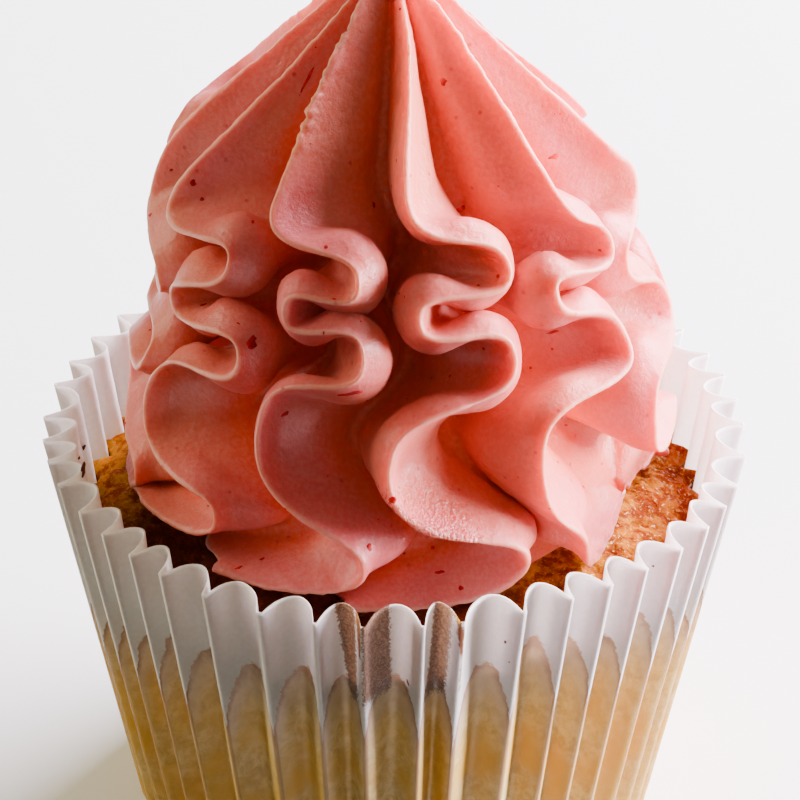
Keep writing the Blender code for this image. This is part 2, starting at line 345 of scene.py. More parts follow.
def new_look(name):
    """A material with its shader, and the place on the piece in millimetres."""
    look = bpy.data.materials.new(name)
    look.use_nodes = True
    tree = look.node_tree
    place = scale_vector(add_node(tree, "ShaderNodeTexCoord", output="Object"), 1.0 / MM)
    return look, tree, tree.nodes["Principled BSDF"], place


def set_bump(shader, height, distance):
    """Bump whose height of 1 stands for the distance in millimetres."""
    values = {"Height": height, "Strength": 1.0, "Distance": distance * MM}
    set_inputs(shader, {"Normal": add_node(height.tree, "ShaderNodeBump", values, "Normal")})


def new_group(name, labels, look_label):
    """A Geometry Nodes tree with a named input for each size and for the material."""
    tree = bpy.data.node_groups.new(name, "GeometryNodeTree")
    sockets = [("Geometry", "NodeSocketGeometry")]
    sockets += [(label, "NodeSocketInt" if label == "Seed" else "NodeSocketFloat") for label in labels]
    sockets.append((look_label, "NodeSocketMaterial"))
    for label, kind in sockets:
        tree.interface.new_socket(label, in_out="INPUT", socket_type=kind)
    tree.interface.new_socket("Geometry", in_out="OUTPUT", socket_type="NodeSocketGeometry")
    start = tree.nodes.new("NodeGroupInput")
    return tree, {label: Value(tree, start.outputs[label]) for label, kind in sockets}


def finish_group(geometry, look):
    whole = add_node(geometry.tree, "GeometryNodeRealizeInstances", {0: geometry})
    dressed = add_node(geometry.tree, "GeometryNodeSetMaterial", {"Geometry": whole, "Material": look})
    set_inputs(geometry.tree.nodes.new("NodeGroupOutput"), {0: dressed})
    return geometry.tree


def place_in_group(tree):
    return scale_vector(add_node(tree, "GeometryNodeInputPosition"), 1.0 / MM)


def raise_surface(geometry, height):
    """Moves points out along their normals by a height in millimetres."""
    normal = add_node(geometry.tree, "GeometryNodeInputNormal")
    values = {"Geometry": geometry, "Offset": scale_vector(normal, height * MM)}
    return add_node(geometry.tree, "GeometryNodeSetPosition", values)


def run_group(mesh, tree, values, name):
    """Runs a tree on a mesh and gives back a plain object with the result."""
    carrier = add_object(name + "_carrier", mesh)
    modifier = carrier.modifiers.new(tree.name, "NODES")
    modifier.node_group = tree
    for item in tree.interface.items_tree:
        if item.item_type == "SOCKET" and item.in_out == "INPUT" and item.name in values:
            modifier[item.identifier] = values[item.name]
    graph = bpy.context.evaluated_depsgraph_get()
    graph.update()
    result = bpy.data.meshes.new_from_object(carrier.evaluated_get(graph), depsgraph=graph)
    carrier.modifiers.clear()
    bpy.data.objects.remove(carrier, do_unlink=True)
    result.name = name
    return add_object(name, result)


def group_attribute(tree, name):
    return add_node(tree, "GeometryNodeInputNamedAttribute", {"Name": name}, "Attribute", data_type="FLOAT")


# Settings helpers

def length_property(name, description, default):
    return FloatProperty(name=name, description=description, default=default, unit="LENGTH")


def power_property(name, description, default):
    return FloatProperty(name=name, description=description, default=default, unit="POWER")


def colour_property(name, description, default):
    return FloatVectorProperty(name=name, description=description, default=default, subtype="COLOR")


# Paper case

def pleat_folds():
    random = np.random.default_rng(PLEAT_SEED)
    stray = random.uniform(-PLEAT_STRAY, PLEAT_STRAY, PLEAT_COUNT)
    folds = PLEAT_START + (np.arange(PLEAT_COUNT) + stray) * 360.0 / PLEAT_COUNT
    for step, turn in enumerate(SEEN_FOLDS):
        pleat = FIRST_SEEN_FOLD + step
        folds[pleat % PLEAT_COUNT] = turn + (360.0 if pleat < 0 else 0.0)
    return folds


def fold_share(place):
    wall = np.minimum(np.abs(place) / FOLD_EDGE, 1.0)
    return 1.0 - (1.0 - wall ** PLEAT_CURVE) ** (1.0 / PLEAT_CURVE)


def pleat_columns(per_pleat):
    """Turn, fold share and number of the pleat for every column round the paper."""
    folds = pleat_folds()
    ends = np.append(folds[1:], folds[0] + 360.0)
    # Even steps along the curve of the pleat, closer at the outer folds
    angle = np.linspace(0.0, math.pi, per_pleat, endpoint=False)
    places = np.cos(angle)
    turns = (folds[:, None] + (ends - folds)[:, None] * (1.0 - places)[None, :] / 2.0).ravel()
    shares = np.tile(fold_share(places), PLEAT_COUNT)
    return turns, shares, np.repeat(np.arange(PLEAT_COUNT), per_pleat), np.tile(places, PLEAT_COUNT)


def rim_wave(turns):
    total = np.zeros_like(turns)
    for count, size, turn in RIM_WAVES:
        total += size * np.cos(np.radians(count * (turns - turn)))
    return total


def outer_radius(height, turns, shares):
    """Outside of the paper at a height above the floor."""
    rise = np.clip(height / RIM_HEIGHT, 0.0, 1.1)
    fold = BASE_RADIUS + (RIM_RADIUS - BASE_RADIUS) * rise + rim_wave(turns) * rise
    depth = BASE_PLEAT_DEPTH + (RIM_PLEAT_DEPTH - BASE_PLEAT_DEPTH) * rise
    return fold - depth * (1.0 - shares)


# Top of the greasy zone along the inner folds, turn and height, and its drop at the outer folds
SOAK_TOPS = ((-180, 28.5), (-120, 27.5), (-71, 28.6), (-55, 31.0), (-45, 31.8), (-35, 32.4), (-24, 32.6),
             (-16, 33.7), (-9, 33.9), (-1, 33.8), (9, 33.4), (14, 34.7), (23, 35.0), (33, 34.8), (41, 34.3),
             (53, 33.7), (75, 32.4), (120, 30.0), (180, 28.5))
SOAK_DROP = 7.0
SOAK_ARCH = 3.4
# How much the arches of the zone differ in height and lie to one side, drawn from the seed
SOAK_SHIFT = 0.35
SOAK_ASIDE = 0.16
SOAK_SEED = 21

# Baked-on smears: turns of the left and right edge at the top and at the foot, height of the foot
SMEARS = ((-10.0, -6.3, -7.6, -6.0, 30.5), (-5.4, -1.2, -5.3, -0.6, 31.5), (6.3, 9.4, 4.8, 8.6, 31.0))
SMEAR_CURVE = 0.8
FOOT_SHARE = 0.3
FAR_OUTSIDE = -5.0
# Slits of amber grease beside them, given the same way
SLITS = ((-6.5, -5.2, -5.9, -5.4, 37.0), (9.2, 10.1, 10.2, 10.7, 37.0), (9.9, 10.5, 10.3, 10.7, 32.6))


def wrap_turns(turns):
    return (turns + 180.0) % 360.0 - 180.0


def soak_depth(turns, places, heights, pleats):
    """How far a point of the paper is below the upper edge of the greasy zone."""
    random = np.random.default_rng(SOAK_SEED)
    shift = random.normal(0.0, SOAK_SHIFT, PLEAT_COUNT)[pleats]
    aside = random.normal(0.0, SOAK_ASIDE, PLEAT_COUNT)[pleats]
    table = np.array(SOAK_TOPS, dtype=float)
    top = np.interp(wrap_turns(turns), table[:, 0], table[:, 1]) + shift
    arch = np.abs(places + aside * (1.0 - places ** 2)) ** SOAK_ARCH
    return top - SOAK_DROP * arch - heights


def smear_depth(turns, heights, smears):
    """How far a point is inside the nearest of the smears, in millimetres."""
    best = np.full(turns.shape, FAR_OUTSIDE)
    wrapped = wrap_turns(turns)
    for top_left, top_right, foot_left, foot_right, foot in smears:
        rise = np.clip((heights - foot) / (RIM_HEIGHT - foot), 0.0, 1.0) ** SMEAR_CURVE
        left = foot_left + (top_left - foot_left) * rise
        right = foot_right + (top_right - foot_right) * rise
        inside = np.minimum(wrapped - left, right - wrapped) * math.radians(1.0) * RIM_RADIUS
        inside = np.minimum(inside, (heights - foot) * FOOT_SHARE)
        best = np.maximum(best, inside)
    return best


def case_grid():
    columns = pleat_columns(COLUMNS_PER_PLEAT)
    count = len(columns[0])
    wall = np.linspace(CORNER, RIM_HEIGHT, WALL_RINGS)
    # Height, share of the wall's radius, side of the paper: out from the middle, up and down inside
    rows = [(0.0, 0.06, 0.0), (0.0, 0.45, 0.0), (0.0, 0.8, 0.0), (0.0, 0.95, 0.0),
            (0.12, 0.972, 0.0), (0.6, 0.992, 0.0)]
    rows += [(height, 1.0, 0.0) for height in wall]
    rows += [(RIM_HEIGHT, 1.0, 0.5)]
    rows += [(height, 1.0, 1.0) for height in wall[::-1][:INNER_RINGS]]
    rows += [(height, 1.0, 1.0) for height in (24.0, 18.0, 12.0, 6.0, CORNER)]
    rows += [(0.45, 0.95, 1.0), (BASE_LIFT, 0.8, 1.0), (BASE_LIFT, 0.45, 1.0), (BASE_LIFT, 0.06, 1.0)]
    heights, inward, inner = [np.repeat(column, count) for column in zip(*rows)]
    turns, shares, pleats, places = [np.tile(column, len(rows)) for column in columns]
    points = around(turns, outer_radius(heights, turns, shares) * inward, heights)
    points = np.concatenate([points, [[0.0, 0.0, 0.0], [0.0, 0.0, BASE_LIFT]]])
    values = {
        "turn": turns, "fold": shares, "place": places, "height": heights, "inward": inward,
        "inner": inner, "wave": rim_wave(turns),
        "soak": soak_depth(turns, places, heights, pleats), "smear": smear_depth(turns, heights, SMEARS),
        "slit": smear_depth(turns, heights, SLITS),
        "skew": np.random.default_rng(SKEW_SEED).normal(0.0, 1.0, PLEAT_COUNT)[pleats]}
    # The two middle points only close the base
    values = {key: np.append(item, [item[0], item[-1]]) for key, item in values.items()}
    values["inward"][-2:] = 0.0
    return make_mesh("case_grid", points, closed_faces(len(rows), count), values)


def case_group():
    """Folds a plain round wall into pleats from its stored turn, fold and height."""
    labels = ("Rim Radius", "Base Radius", "Wall Height", "Rim Pleat Depth", "Base Pleat Depth",
              "Inner Rim Rise", "Paper Thickness", "Crinkle")
    tree, value = new_group("Pleated Case", labels, "Paper")
    fold = group_attribute(tree, "fold")
    height = group_attribute(tree, "height")
    place = group_attribute(tree, "place")
    rise = height / value["Wall Height"]
    grown = value["Rim Radius"] - value["Base Radius"] + group_attribute(tree, "wave")
    outer = grown * rise + value["Base Radius"]
    depth = (value["Rim Pleat Depth"] - value["Base Pleat Depth"]) * rise + value["Base Pleat Depth"]
    # Pleats are crisp at the rim and soften towards the base
    wavy = maths(tree, "COSINE", place * math.pi) * -0.5 + 0.5
    fold = fold + remap(rise, 0.5, 0.98, 1.0, 0.0) * (wavy - fold)
    lobe = 1.0 - fold
    crumple = (noise(place_in_group(tree), 7.0, 2.0, 0.55) - 0.5) * value["Crinkle"] * rise ** 1.5
    radius = outer - depth * lobe + crumple * lobe
    radius = radius - group_attribute(tree, "inner") * value["Paper Thickness"]
    radius = radius * group_attribute(tree, "inward")
    # Each pleat leans a little to one side towards the rim
    lean = group_attribute(tree, "skew") * (1.0 - place * place) * rise ** 3.0
    angle = maths(tree, "RADIANS", lean * PLEAT_LEAN + group_attribute(tree, "turn"))
    level = value["Inner Rim Rise"] * lobe * maths(tree, "MAXIMUM", rise, 0.0) ** 12.0 + height
    across = radius * maths(tree, "SINE", angle)
    forward = radius * maths(tree, "COSINE", angle) * -1.0
    joined = add_node(tree, "ShaderNodeCombineXYZ", {0: across, 1: forward, 2: level})
    values = {"Geometry": value["Geometry"], "Position": scale_vector(joined, MM)}
    return finish_group(add_node(tree, "GeometryNodeSetPosition", values), value["Paper"])


def paper_look(settings):
    look, tree, shader, place = new_look("Baking Paper")
    # The greasy zone has a ragged upper edge and a darker line along it
    ragged = noise(place, 0.7, 3.0, 0.6) - 0.5
    level = (noise(place, 2.6) - 0.5) * 2.6 + (ragged * 1.8 + stored(tree, "soak"))
    soaked = remap(level, -0.15, 0.35)
    # Cloudy fibres
    drift = scale_vector(noise(place, 1.0 / 0.45, output="Color"), 1.2)
    flattened = vector_maths("MULTIPLY", vector_maths("ADD", place, drift), (1.0, 1.0, 0.75))
    fibres = noise(flattened, 1.2, 5.0, 0.7, 0.3)
    crumb = mix_colour(remap(fibres, 0.32, 0.68), settings.soaked_dark, settings.soaked_light)
    # Grey-brown near the top of the zone, yellow and amber lower down
    crumb = mix_colour(remap(level, 1.0, 8.0, 0.75, 0.0), crumb, settings.soaked_grey)
    amber = remap(noise(place, 6.0), 0.35, 0.7) * remap(level, 1.0, 14.0)
    crumb = mix_colour(amber, crumb, settings.soaked_amber)
    crumb = mix_colour(remap(stored(tree, "fold"), 0.8, 1.0) * 0.85, crumb, SOAKED_RIDGE)
    crumb = mix_colour(soaked * remap(level, 0.3, 2.2, 1.0, 0.0) * 0.8, crumb, SOAKED_EDGE)
    grain = noise(place, 0.5, 3.0, 0.6)
    dry = mix_colour(remap(grain, 0.3, 0.75), PAPER_SHADE, settings.paper_colour)
    colour = mix_colour(soaked, dry, crumb)
    # Baked-on smears and the slits beside them
    speckle = noise(place, 0.28, 2.0, 0.7)
    inside = remap(speckle - 0.5 + stored(tree, "smear"), 0.0, 0.22)
    crust = mix_colour(remap(speckle, 0.35, 0.65), SMEAR_DARK, SMEAR_LIGHT)
    colour = mix_colour(inside, colour, crust)
    slit = remap(ragged * 0.5 + stored(tree, "slit"), -0.05, 0.15)
    set_inputs(shader, {
        "Base Color": mix_colour(slit, colour, SLIT_COLOUR), "Subsurface Weight": 0.55,
        "Subsurface Radius": (1.0, 0.85, 0.7), "Subsurface Scale": 0.0012,
        "Roughness": soaked * -0.18 + 0.68, "Specular IOR Level": 0.35})
    set_bump(shader, grain * 0.5 + inside * speckle * 2.0, 0.08)
    return look


class CaseSettings(bpy.types.PropertyGroup):
    thickness: length_property("Paper Thickness", "Thickness of the paper in metres", 0.00022)
    crinkle: length_property(
        "Crinkle", "How far the pleats wander in and out at the rim, in metres", 0.0007)
    paper_colour: colour_property("Paper Colour", "Colour of the dry paper", (0.93, 0.93, 0.91))
    soaked_light: colour_property("Soaked Light", "Pale fibres in the greasy zone", (0.92, 0.68, 0.27))
    soaked_dark: colour_property("Soaked Dark", "Dark fibres in the greasy zone", (0.65, 0.40, 0.115))
    soaked_grey: colour_property("Soaked Grey", "Grey-brown top of the greasy zone", (0.65, 0.48, 0.33))
    soaked_amber: colour_property("Soaked Amber", "Deep patches in the greasy zone", (0.82, 0.44, 0.05))


class CUPCAKE_OT_case(bpy.types.Operator):
    """Make the pleated paper case with its greasy zone and smears"""
    bl_idname = "cupcake.case"
    bl_label = "Make Paper Case"

    def execute(self, context):
        settings = context.scene.cupcake_case
        values = {
            "Rim Radius": RIM_RADIUS, "Base Radius": BASE_RADIUS, "Wall Height": RIM_HEIGHT,
            "Rim Pleat Depth": RIM_PLEAT_DEPTH, "Base Pleat Depth": BASE_PLEAT_DEPTH,
            "Inner Rim Rise": INNER_RIM_RISE, "Paper Thickness": settings.thickness / MM,
            "Crinkle": settings.crinkle / MM, "Paper": paper_look(settings)}
        piece = run_group(case_grid(), case_group(), values, "pleated_case")
        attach(piece, "root")
        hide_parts("paper_case")
        return {"FINISHED"}


# Cake

def dome_height(radius):
    share = np.clip(radius / CAKE_DOME_RADIUS, 0.0, 1.05)
    drop = CAKE_TOP_HEIGHT - CAKE_EDGE_HEIGHT - CAKE_EDGE_ROUND
    return CAKE_TOP_HEIGHT - drop * share ** CAKE_DOME_POWER


def cake_grid():
    turns, shares = pleat_columns(CAKE_COLUMNS)[:2]
    count = len(turns)
    rings = []
    craggy = []
    for height, inset in ((CAKE_LOW, CORNER * 0.7), (CORNER, 0.0), (12.0, 0.0), (24.0, 0.0), (30.0, 0.0),
                          (32.0, 0.0)):
        radii = outer_radius(np.asarray(height), turns, shares) - CAKE_SKIN - inset
        rings.append(around(turns, radii, height))
        craggy.append(0.0 if height < 30.0 else EDGE_CRAGS)
    edge = outer_radius(np.asarray(CAKE_EDGE_HEIGHT), turns, shares) - CAKE_SKIN
    soft = outer_radius(np.asarray(CAKE_EDGE_HEIGHT), turns, np.full(count, 0.25)) - CAKE_SKIN
    for inset in np.concatenate([[0.0, 0.15, 0.35, 0.6, 0.9, 1.25, 1.7], np.arange(2.1, CRAG_REACH, 0.36),
                                 np.arange(12.5, 24.0, 1.5)]):
        radii = edge + (soft - edge) * smooth(inset / 4.0) - inset
        rise = smooth(inset / 1.9) ** 0.6
        height = CAKE_EDGE_HEIGHT + rise * (dome_height(radii) - CAKE_EDGE_HEIGHT)
        rings.append(around(turns, radii, height))
        grown = EDGE_CRAGS + (1.0 - EDGE_CRAGS) * smooth(inset / 1.3)
        craggy.append(float(grown) if inset < CRAG_REACH else 0.0)
    points = np.concatenate(rings + [[[0.0, 0.0, CAKE_LOW], [0.0, 0.0, CAKE_TOP_HEIGHT]]])
    values = {"craggy": np.append(np.repeat(craggy, count), [0.0, 0.0])}
    return make_mesh("cake_grid", points, closed_faces(len(rings), count), values)


def cake_group():
    """Raises crags and sinks holes in the crust where the stored share allows."""
    labels = ("Crag Height", "Crag Size", "Hole Depth", "Hole Size")
    tree, value = new_group("Baked Crust", labels, "Crust")
    place = place_in_group(tree)
    crags = (noise(place, value["Crag Size"], 5.0, 0.62, 0.5) - 0.52) * value["Crag Height"]
    cells = {"Vector": place, "Scale": 1.0 / value["Hole Size"], "Randomness": 1.0}
    middle = add_node(tree, "ShaderNodeTexVoronoi", cells, "Distance", feature="F1")
    height = crags - remap(middle, 0.1, 0.4, 1.0, 0.0) * value["Hole Depth"]
    raised = raise_surface(value["Geometry"], height * group_attribute(tree, "craggy"))
    return finish_group(raised, value["Crust"])


def crust_look(settings):
    look, tree, shader, place = new_look("Golden Crust")
    fine = noise(place, 1.5, 3.0, 0.6, 0.15)
    tiny = noise(place, 0.35, 2.0, 0.6)
    colour = mix_colour(remap(fine, 0.4, 0.6), settings.crust_dark, settings.crust_light)
    broad = remap(noise(place, 7.0, 3.0, 0.55), 0.5, 0.72, 0.0, 0.75)
    colour = mix_colour(broad, colour, settings.crust_brown_and_shade)
    # Painted glints: tiny spots of the crust are brightened to gold where its gloss sparkles
    colour = mix_colour(remap(tiny, 0.58, 0.68, 0.0, 0.6), colour, CRUST_PAINTED_GLINT)
    # Painted shade: the crust is darkened to the brown colour at the front left, where it lies under the
    # frosting
    across, along = split_vector(place)[:2]
    front = along * -1.0
    front = maths(tree, "MINIMUM", across * -0.6 + front, across * 0.9 + (front + 30.0))
    glints = remap(tiny, 0.58, 0.64)
    set_inputs(shader, {
        "Base Color": mix_colour(remap(front, 10.0, 18.0, 0.0, 0.95), colour, settings.crust_brown_and_shade),
        "Subsurface Weight": 0.2, "Subsurface Radius": (1.0, 0.4, 0.1), "Subsurface Scale": 0.0015,
        "Roughness": glints * -0.4 + 0.55, "Specular IOR Level": glints * 0.9 + 0.03,
        "Specular Tint": (*CRUST_GLOSS, 1.0)})
    set_bump(shader, fine + tiny * 0.35, 0.6)
    return look


class CakeSettings(bpy.types.PropertyGroup):
    crag_height: length_property("Crag Height", "Height of the crust's crags in metres", 0.0022)
    hole_depth: length_property("Hole Depth", "Depth of the crust's small holes in metres", 0.0005)
    crust_light: colour_property("Crust Light", "Pale golden crumb", (0.62, 0.235, 0.002))
    crust_dark: colour_property("Crust Dark", "Amber hollows of the crumb", (0.30, 0.055, 0.001))
    # Also used as painted shade over the crust at the front left
    crust_brown_and_shade: colour_property("Crust Brown", "Browned patches", (0.12, 0.010, 0.001))


class CUPCAKE_OT_cake(bpy.types.Operator):
    """Make the baked cake with its craggy crust"""
    bl_idname = "cupcake.cake"
    bl_label = "Make Cake"

    def execute(self, context):
        settings = context.scene.cupcake_cake
        values = {
            "Crag Height": settings.crag_height / MM, "Crag Size": 2.6,
            "Hole Depth": settings.hole_depth / MM, "Hole Size": 1.7, "Crust": crust_look(settings)}
        piece = run_group(cake_grid(), cake_group(), values, "craggy_cake")
        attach(piece, "root")
        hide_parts("cake")
        return {"FINISHED"}


# Frosting

def fin_tables():
    random = np.random.default_rng(FIN_SEED)
    turns = np.zeros((FIN_COUNT, len(FOLD_HEIGHTS)))
    heights = np.zeros_like(turns)
    for fin in range(FIN_COUNT):
        swing = random.normal(0.0, OTHER_SWING_SPREAD, len(FOLD_HEIGHTS))
        lift = random.normal(0.0, OTHER_LIFT_SPREAD, len(FOLD_HEIGHTS))
        lift[[0, -1]] = 0.0
        turns[fin] = FIRST_FIN + FIN_PITCH * fin + np.array(FOLD_SWINGS) + FRONT_SWINGS.get(fin, swing)
        heights[fin] = np.array(FOLD_HEIGHTS) + FRONT_LIFTS.get(fin, lift)
    return turns, heights


def follow_folds(place, values, slopes):
    """Smooth heights through the folds, each fold turning as its slope says."""
    index = np.clip(np.floor(place).astype(int), 0, values.shape[-1] - 2)
    part = place - index
    square = part * part
    cube = square * part
    start = values[..., index]
    end = values[..., index + 1]
    rise = start * (2.0 * cube - 3.0 * square + 1.0)
    rise = rise + slopes[index] * (cube - 2.0 * square + part)
    rise = rise + end * (3.0 * square - 2.0 * cube)
    return rise + slopes[index + 1] * (cube - square)


def follow_turns(place, values):
    """Turns through the folds, level at each fold."""
    index = np.clip(np.floor(place).astype(int), 0, values.shape[-1] - 2)
    part = (1.0 - np.cos(np.pi * (place - index))) / 2.0
    return values[..., index] + (values[..., index + 1] - values[..., index]) * part


def along_folds(place, table):
    return np.interp(place, np.arange(len(table)), table)


def valley_level(place):
    return along_folds(place, VALLEY_HEIGHTS)


def reach(height):
    barrel = BARREL_RADIUS - BARREL_CURVE * (height - BARREL_HEIGHT) ** 2
    cone = PEAK_RADIUS + CONE_SLOPE * np.maximum(PEAK_HEIGHT - height, 0.0)
    return -SHOULDER * np.logaddexp(-barrel / SHOULDER, -cone / SHOULDER)


def lean_at(height):
    return LEAN * smooth((height - LEAN_START) / LEAN_RISE)


def root_radius(low):
    return np.interp(low, ROOT_HEIGHTS, ROOT_SHARES) * reach(low)


def waist(turn, height):
    sideways = np.sin(np.radians(turn))
    level = WAIST_HEIGHT + WAIST_SLANT * sideways
    close = np.exp(-((height - level) / WAIST_SPAN) ** 2)
    first, full, last, end = SLIM_TURNS
    slim = smooth((turn - first) / (full - first)) * smooth((end - turn) / (end - last))
    low, high = SLIM_HEIGHTS
    slim = slim * smooth((height - low) / (high - low))
    return (1.0 - WAIST_SHARE * close * sideways ** 2) * (1.0 - SLIM_SHARE * slim)


def fin_point(place, depth, side):
    """Points of all fins at places up the folds, on one side (-1, 0 or 1) of the fin."""
    turns, heights = fin_tables()
    slopes = np.array(FOLD_ROUNDING)
    middles = (FIRST_FIN + FIN_PITCH * np.arange(FIN_COUNT))[:, None]
    share = depth ** FOLD_FADE
    hems = np.array([HEM_SHARES.get(fin, 0.0) for fin in range(FIN_COUNT)])[:, None]

    def centre(spot):
        crest_height = follow_folds(spot, heights, slopes)
        crest_turn = follow_turns(spot, turns)
        low = valley_level(spot)
        follow = along_folds(spot, ROOT_FOLLOWS)
        turn = middles + (follow + (1.0 - follow) * share) * (crest_turn - middles)
        height = low + share * (crest_height - low)
        crest = reach(crest_height) * waist(crest_turn, crest_height)
        crest = crest * (1.0 - hems * smooth((1.0 - spot) / HEM_LENGTH))
        root = np.minimum(root_radius(low), crest - 0.3)
        radius = root + (crest - root) * depth
        return turn, height, radius, crest

    turn, height, radius, crest = centre(place)
    before = centre(np.maximum(place - NEAR_STEP, 0.0))
    after = centre(np.minimum(place + NEAR_STEP, len(FOLD_HEIGHTS) - 1.0))
    along = np.radians(after[0] - before[0]) * radius
    rise = after[1] - before[1]
    length = np.hypot(along, rise) + 1e-9
    full = np.clip(crest / FULL_REACH, 0.08, 1.0)
    crest_half = CREST_HALF * full
    # The last stretch before the crest is rounded off
    wall = crest - root_radius(valley_level(place))
    span = np.clip(1.3 * crest_half / np.maximum(wall, 0.6), 0.02, 0.5)
    tip = np.clip((depth - 1.0 + span) / span, 0.0, 1.0)
    rounded = np.sqrt(np.maximum(1.0 - tip * tip, 0.0))
    below = (1.0 - depth) * np.maximum(wall, 0.0)
    body = 1.0 - (1.0 - np.clip((below - BODY_START) / BODY_DEPTH, 0.0, 1.0)) ** BODY_ROUND
    body = body * along_folds(place, BODY_SHARES) * full
    swing = np.clip((follow_turns(place, turns) - middles) / FULL_SWING, -1.0, 1.0)
    outside = smooth(0.5 + 0.75 * side * swing)
    sheet = (crest_half + (1.0 - depth) * SHEET_GROWTH * full) * rounded
    sheet = sheet + body * BODY_OUTSIDE * outside
    swell = crest_half + math.radians(SPREAD) * (1.0 - share) * radius
    # A wall stays short of the middle of the gap to the next fin
    gap = np.roll(turn, -1, axis=0) - turn
    gap[-1] += 360.0
    if side < 0.0:
        gap = np.roll(gap, 1, axis=0)
    limit = np.radians(np.maximum(gap, 1.0)) * radius * SIDE_LIMIT
    even = smooth((depth - 0.4) / 0.4)
    sheet = even * np.minimum(sheet, limit)
    across = side * (sheet * rise / length + (1.0 - even) * np.minimum(swell, limit))
    upward = -side * sheet * along / length
    turn = turn + np.degrees(across / np.maximum(radius, GAP))
    height = np.maximum(height + upward, dome_height(radius) + GAP)
    points = around(turn, radius, height)
    points[..., 0] += lean_at(height)
    return points


def valley_point(place):
    low = np.broadcast_to(valley_level(place), (FIN_COUNT, len(place)))
    fins = FIRST_FIN + FIN_PITCH * np.arange(FIN_COUNT)
    swing = follow_turns(place, fin_tables()[0]) - fins[:, None]
    swing = (swing + np.roll(swing, 1, axis=0)) / 2.0 * along_folds(place, ROOT_FOLLOWS)
    turns = (fins - FIN_PITCH / 2.0)[:, None] + swing
    points = around(turns, root_radius(low), low)
    points[..., 0] += lean_at(low)
    return points


def even_places():
    """Places up the folds that lie evenly along the crests."""
    last = len(FOLD_HEIGHTS) - 1.0
    fine = np.linspace(FIRST_PLACE, last, FINE_STEPS)
    crest = fin_point(fine, 1.0, 0.0)
    steps = np.linalg.norm(np.diff(crest, axis=1), axis=-1).mean(axis=0)
    steps = steps + np.diff(valley_level(fine)) * 0.3
    length = np.concatenate([[0.0], np.cumsum(steps)])
    return np.interp(np.linspace(0.0, length[-1], RING_COUNT), length, fine)


def frosting_grid():
    places = even_places()
    sides = [(depth, -1.0) for depth in DEPTH_STEPS] + [(1.0, 0.0)]
    sides += [(depth, 1.0) for depth in reversed(DEPTH_STEPS)]
    columns = [valley_point(places)] + [fin_point(places, depth, side) for depth, side in sides]
    depths = [0.0] + [depth for depth, side in sides]
    per_fin = len(columns)
    grid = np.transpose(np.stack(columns, axis=2), (1, 0, 2, 3))
    rings = len(places)
    count = FIN_COUNT * per_fin
    points = grid.reshape(rings * count, 3)
    faces = [grid_faces(rings, count)]
    steps = len(DEPTH_STEPS)
    inner = len(points)
    inner_turns = FIRST_FIN + FIN_PITCH * (np.arange(FIN_COUNT) - 0.5)
    under = around(inner_turns, UNDER_RADIUS, float(dome_height(UNDER_RADIUS)) + 1.2 * GAP)
    middle = inner + FIN_COUNT
    peak = points[(rings - 1) * count:].mean(axis=0) + (0.0, 0.0, TIP_RISE)
    points = np.concatenate([points, under, [[0.0, 0.0, CAKE_TOP_HEIGHT + GAP], peak]])
    strips = []
    tips = []
    for fin in range(FIN_COUNT):
        base = fin * per_fin
        next_fin = (fin + 1) % FIN_COUNT
        following = next_fin * per_fin
        left = [base + step for step in range(steps + 1)]
        right = [following] + [base + per_fin - 1 - step for step in range(steps)]
        strips += zip(left[1:], left, right, right[1:])
        tips.append((base + steps + 1, left[steps], right[steps]))
        strips.append((following, base, inner + fin, inner + next_fin))
        tips.append((inner + next_fin, inner + fin, middle))
    faces += [strips, tips, fan_faces((rings - 1) * count, middle + 1, count, True)]
    extra = FIN_COUNT + 2
    depth_values = np.append(np.tile(depths, rings * FIN_COUNT), np.zeros(extra))
    place_values = np.append(np.repeat(places, count), np.zeros(extra))
    fin_values = np.append(np.tile(np.repeat(np.arange(FIN_COUNT), per_fin), rings), np.zeros(extra))
    # Torn edges: the lowest laps, and the upper crest of the fin left of the front
    crest = smooth((depth_values - 0.8) / 0.15)
    torn = TORN_LAPS * smooth((1.15 - place_values) / 0.4) * crest
    upper = smooth((place_values - 6.1) / 0.3) * crest
    torn = np.maximum(torn, upper * np.where(fin_values == TORN_FIN, TORN_MOST, TORN_TOPS))
    return make_mesh("frosting_grid", points, faces, {"depth": depth_values, "torn": torn})


def frosting_group():
    """Gives the smooth folds their ripples, grain and torn edges."""
    labels = ("Ripple Height", "Ripple Size", "Grain Height", "Grain Size", "Torn Depth", "Torn Size")
    tree, value = new_group("Frosting Surface", labels, "Frosting")
    place = place_in_group(tree)
    ripples = (noise(place, value["Ripple Size"], 1.0) - 0.5) * value["Ripple Height"]
    grain = (noise(place, value["Grain Size"]) - 0.5) * value["Grain Height"]
    torn = (noise(place, value["Torn Size"]) - 0.5) * value["Torn Depth"] * group_attribute(tree, "torn")
    return finish_group(raise_surface(value["Geometry"], ripples + grain + torn), value["Frosting"])


